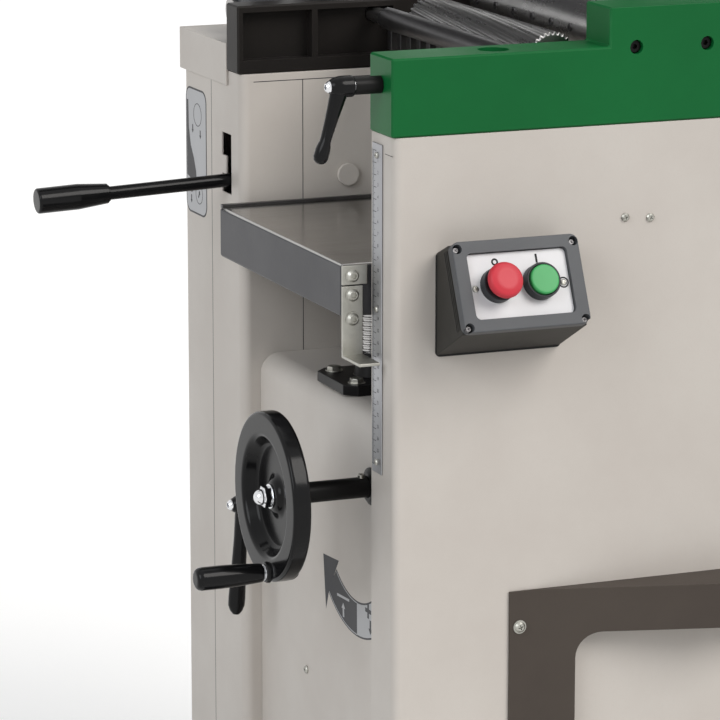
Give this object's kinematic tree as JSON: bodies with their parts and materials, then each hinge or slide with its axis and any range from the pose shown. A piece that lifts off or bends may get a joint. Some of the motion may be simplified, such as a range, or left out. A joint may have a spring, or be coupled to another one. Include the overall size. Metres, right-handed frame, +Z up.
{
  "type": "planer thicknesser",
  "caption": "Floor-standing planer thicknesser in its thicknessing set-up, with a rising table, powered rollers and surface tables swung up at the rear.",
  "frame": {"origin": "centre of the base plate's underside, on the floor, midway between the body's end faces and midway between the front of the body and its rear cover", "axes": "+X along the feed towards the end away from the handwheel, +Y from the operator towards the rear, +Z up"},
  "size_m": [1.044, 0.6819, 1.253],
  "materials": {
    "dark_paint": "satin dark grey paint",
    "cream_paint": "fine satin light grey-cream powder coat",
    "green_paint": "satin green enamel",
    "black_paint": "satin black enamel",
    "powder_coat": "textured brown-black powder coat",
    "bright_steel": "ground or machined steel",
    "machined_iron": "fine-planed top, cast sides",
    "satin_aluminium": "satin anodised",
    "bronze": "turned",
    "chrome": "polished",
    "black_gloss": "glossy black",
    "grey_plastic": "fine satin grain",
    "red_plastic": "satin",
    "green_plastic": "satin",
    "belt_rubber": "matt black"
  },
  "bodies": {
    "machine": {"base_plate": "dark_paint", "motor": "dark_paint", "gear_hanger": "dark_paint", "hinge_bracket_left": "dark_paint", "hinge_bracket_right": "dark_paint", "front_wall": "cream_paint", "cabinet": "cream_paint", "rear_upright": "cream_paint", "rear_cover": "cream_paint", "rear_cap": "cream_paint", "front_beam": "green_paint", "rear_beam": "black_paint", "shaft_flange": "black_paint", "screw_housing_left": "black_paint", "screw_housing_right": "black_paint", "lower_guard": "powder_coat", "front_bearing": "bright_steel", "rear_bearing": "bright_steel", "finger_shaft": "bright_steel", "lift_chain": "bright_steel", "feed_lever_pin": "bright_steel", "thickness_scale": "satin_aluminium", "switch_plate": "satin_aluminium", "switch_box": "grey_plastic", "switch_lid": "grey_plastic", "drive_belt": "belt_rubber"},
    "thickness_table": {"thickness_table": "machined_iron", "lift_screw_left": "bright_steel", "lift_screw_right": "bright_steel", "pointer_tab": "bright_steel", "angle_bracket": "bright_steel"},
    "handwheel": {"handwheel": "black_gloss", "handwheel_shaft": "black_paint", "dome_nut": "chrome"},
    "crank_grip": {"crank_grip": "black_gloss"},
    "lift_nut_left": {"lift_nut_left": "bronze"},
    "lift_nut_right": {"lift_nut_right": "bronze"},
    "chain_drive_gear": {"chain_drive_gear": "bright_steel"},
    "cutterblock": {"cutterblock": "bright_steel", "cutter_pulley": "satin_aluminium"},
    "motor_pulley": {"motor_pulley": "satin_aluminium"},
    "infeed_roller": {"infeed_roller": "bright_steel"},
    "outfeed_roller": {"outfeed_roller": "bright_steel"},
    "kickback_fingers": {"kickback_fingers": "dark_paint"},
    "clamp_lever_left": {"clamp_lever_left": "black_gloss"},
    "clamp_lever_right": {"clamp_lever_right": "black_gloss"},
    "table_lock_lever": {"table_lock_lever": "black_gloss"},
    "feed_lever": {"feed_lever": "black_paint", "feed_grip": "black_gloss"},
    "stop_button": {"stop_button": "red_plastic"},
    "start_button": {"start_button": "green_plastic"},
    "surface_tables": {"outfeed_table": "machined_iron", "hinge_shaft": "bright_steel", "hinge_arm_left": "dark_paint", "hinge_arm_right": "dark_paint", "fence_bracket": "dark_paint"},
    "infeed_table": {"infeed_table": "machined_iron"},
    "fence_carriage": {"fence_carriage": "bright_steel"},
    "fence": {"fence": "satin_aluminium"},
    "bridge_guard": {"bridge_guard": "satin_aluminium"}
  },
  "joints": [
    {"name": "table_lift", "type": "slide", "parent": "machine", "child": "thickness_table", "axis": [0, 0, 1], "range_m": [-0.055, 0.13]},
    {"name": "handwheel_turn", "type": "hinge", "parent": "machine", "child": "handwheel", "pos_m": [-0.245, -0.1645, 0.4455], "axis": [1, 0, 0], "range_deg": [-4960, 11710]},
    {"name": "crank_grip_spin", "type": "hinge", "parent": "handwheel", "child": "crank_grip", "pos_m": [-0.345, -0.1725, 0.38331], "axis": [1, 0, 0], "continuous": true},
    {"name": "lift_nut_left_spin", "type": "hinge", "parent": "machine", "child": "lift_nut_left", "pos_m": [-0.183, -0.0555, 0.4877], "axis": [0, 0, 1], "range_deg": [-5000, 11750]},
    {"name": "lift_nut_right_spin", "type": "hinge", "parent": "machine", "child": "lift_nut_right", "pos_m": [0.183, -0.0555, 0.4877], "axis": [0, 0, 1], "range_deg": [-5000, 11750]},
    {"name": "chain_drive_spin", "type": "hinge", "parent": "machine", "child": "chain_drive_gear", "pos_m": [-0.151, -0.1645, 0.46], "axis": [0, 0, 1], "range_deg": [-5000, 11750]},
    {"name": "cutterblock_spin", "type": "hinge", "parent": "machine", "child": "cutterblock", "pos_m": [0, -0.2035, 0.814], "axis": [0, 1, 0], "continuous": true},
    {"name": "motor_spin", "type": "hinge", "parent": "machine", "child": "motor_pulley", "pos_m": [0, 0.1005, 0.192], "axis": [0, 1, 0], "continuous": true},
    {"name": "infeed_roller_spin", "type": "hinge", "parent": "machine", "child": "infeed_roller", "pos_m": [-0.075, -0.2035, 0.7985], "axis": [0, 1, 0], "continuous": true},
    {"name": "outfeed_roller_spin", "type": "hinge", "parent": "machine", "child": "outfeed_roller", "pos_m": [0.075, -0.2035, 0.7985], "axis": [0, 1, 0], "continuous": true},
    {"name": "kickback_swing", "type": "hinge", "parent": "machine", "child": "kickback_fingers", "pos_m": [-0.115, -0.2035, 0.802], "axis": [0, -1, 0], "range_deg": [0, 30]},
    {"name": "clamp_left_turn", "type": "hinge", "parent": "machine", "child": "clamp_lever_left", "pos_m": [-0.247, -0.2281, 0.7929], "axis": [1, 0, 0], "range_deg": [-30, 90]},
    {"name": "clamp_right_turn", "type": "hinge", "parent": "machine", "child": "clamp_lever_right", "pos_m": [0.247, -0.2281, 0.7929], "axis": [1, 0, 0], "range_deg": [-30, 90]},
    {"name": "table_lock_turn", "type": "hinge", "parent": "machine", "child": "table_lock_lever", "pos_m": [-0.228, 0.053, 0.3825], "axis": [1, 0, 0], "range_deg": [-60, 60]},
    {"name": "feed_lever_swing", "type": "hinge", "parent": "machine", "child": "feed_lever", "pos_m": [-0.145, 0.1326, 0.66219], "axis": [0, 1, 0], "range_deg": [0, 18]},
    {"name": "stop_press", "type": "slide", "parent": "machine", "child": "stop_button", "axis": [0, 0.9093, -0.4162], "range_m": [0, 0.003], "stiffness_N_per_m": 500},
    {"name": "start_press", "type": "slide", "parent": "machine", "child": "start_button", "axis": [0, 0.9093, -0.4162], "range_m": [0, 0.003], "stiffness_N_per_m": 500},
    {"name": "tables_swing", "type": "hinge", "parent": "machine", "child": "surface_tables", "pos_m": [0, 0.1815, 0.802], "axis": [1, 0, 0], "range_deg": [0, 90]},
    {"name": "infeed_depth", "type": "slide", "parent": "surface_tables", "child": "infeed_table", "axis": [0, -1, 0], "range_m": [0, 0.003]},
    {"name": "fence_slide", "type": "slide", "parent": "surface_tables", "child": "fence_carriage", "axis": [0, 0, 1], "range_m": [0, 0.13]},
    {"name": "fence_tilt", "type": "hinge", "parent": "fence_carriage", "child": "fence", "pos_m": [-0.093, 0.2395, 0.894], "axis": [-1, 0, 0], "range_deg": [0, 45]},
    {"name": "guard_swing", "type": "hinge", "parent": "surface_tables", "child": "bridge_guard", "pos_m": [-0.125, 0.2435, 1.243], "axis": [0, -1, 0], "range_deg": [0, 90]}
  ],
  "couplings": [
    {"joint": "handwheel_turn", "follows": "table_lift", "rad_per_m": 1570.8},
    {"joint": "lift_nut_left_spin", "follows": "table_lift", "rad_per_m": 1570.8},
    {"joint": "lift_nut_right_spin", "follows": "table_lift", "rad_per_m": 1570.8},
    {"joint": "chain_drive_spin", "follows": "table_lift", "rad_per_m": 1570.8},
    {"joint": "motor_spin", "follows": "cutterblock_spin", "ratio": 0.57692},
    {"joint": "outfeed_roller_spin", "follows": "infeed_roller_spin", "ratio": 1}
  ]
}
